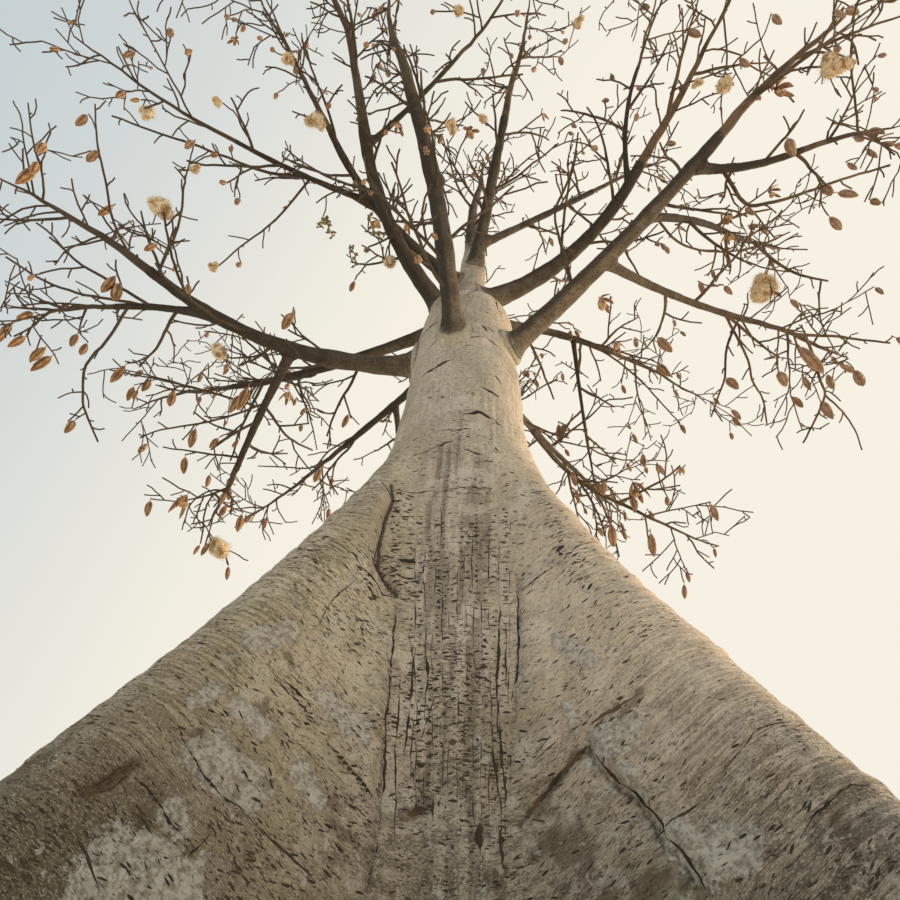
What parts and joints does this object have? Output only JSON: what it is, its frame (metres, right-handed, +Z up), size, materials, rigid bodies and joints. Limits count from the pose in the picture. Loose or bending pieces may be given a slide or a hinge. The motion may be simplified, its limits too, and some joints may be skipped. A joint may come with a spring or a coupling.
{
  "type": "kapok tree",
  "caption": "Bare open-grown kapok tree: a buttressed trunk, spreading boughs and masses of twigs hung with seed pods.",
  "frame": {"origin": "middle of the trunk's flat cut at ground level", "axes": "+Z up along the trunk, +X to the right and +Y away from the viewer of the picture"},
  "size_m": [14.8035, 12.3822, 17.5669],
  "materials": {
    "bark": "rough pale bark with fine cross marks",
    "bough_bark": "rough darker bark",
    "twigs": "dull dark twigs with dry brown pods"
  },
  "bodies": {
    "root": {"bough_back": "bough_bark", "bough_back_high": "bough_bark", "bough_back_left": "bough_bark", "bough_back_low": "bough_bark", "bough_back_right": "bough_bark", "bough_back_right_low": "bough_bark", "bough_front": "bough_bark", "bough_front_cross": "bough_bark", "bough_front_left": "bough_bark", "bough_leader": "bough_bark", "bough_left": "bough_bark", "bough_left_back": "bough_bark", "bough_left_back_high": "bough_bark", "bough_left_level": "bough_bark", "bough_left_low": "bough_bark", "bough_right_back": "bough_bark", "bough_right_back_low": "bough_bark", "bough_right_front": "bough_bark", "bough_right_inner": "bough_bark", "bough_right_inner_high": "bough_bark", "bough_right_low": "bough_bark", "bough_right_mid": "bough_bark", "bough_right_out": "bough_bark", "bough_upper_back": "bough_bark", "bough_upper_left": "bough_bark", "bough_upper_left_low": "bough_bark", "bough_upper_right": "bough_bark", "bough_upper_right_side": "bough_bark", "trunk": "bark", "twigs_back": "twigs", "twigs_back_high": "twigs", "twigs_back_left": "twigs", "twigs_back_low": "twigs", "twigs_back_right": "twigs", "twigs_back_right_low": "twigs", "twigs_front": "twigs", "twigs_front_cross": "twigs", "twigs_front_left": "twigs", "twigs_leader": "twigs", "twigs_left": "twigs", "twigs_left_back": "twigs", "twigs_left_back_high": "twigs", "twigs_left_level": "twigs", "twigs_left_low": "twigs", "twigs_right_back": "twigs", "twigs_right_back_low": "twigs", "twigs_right_front": "twigs", "twigs_right_inner": "twigs", "twigs_right_inner_high": "twigs", "twigs_right_low": "twigs", "twigs_right_mid": "twigs", "twigs_right_out": "twigs", "twigs_upper_back": "twigs", "twigs_upper_left": "twigs", "twigs_upper_left_low": "twigs", "twigs_upper_right": "twigs", "twigs_upper_right_side": "twigs"}
  },
  "joints": []
}
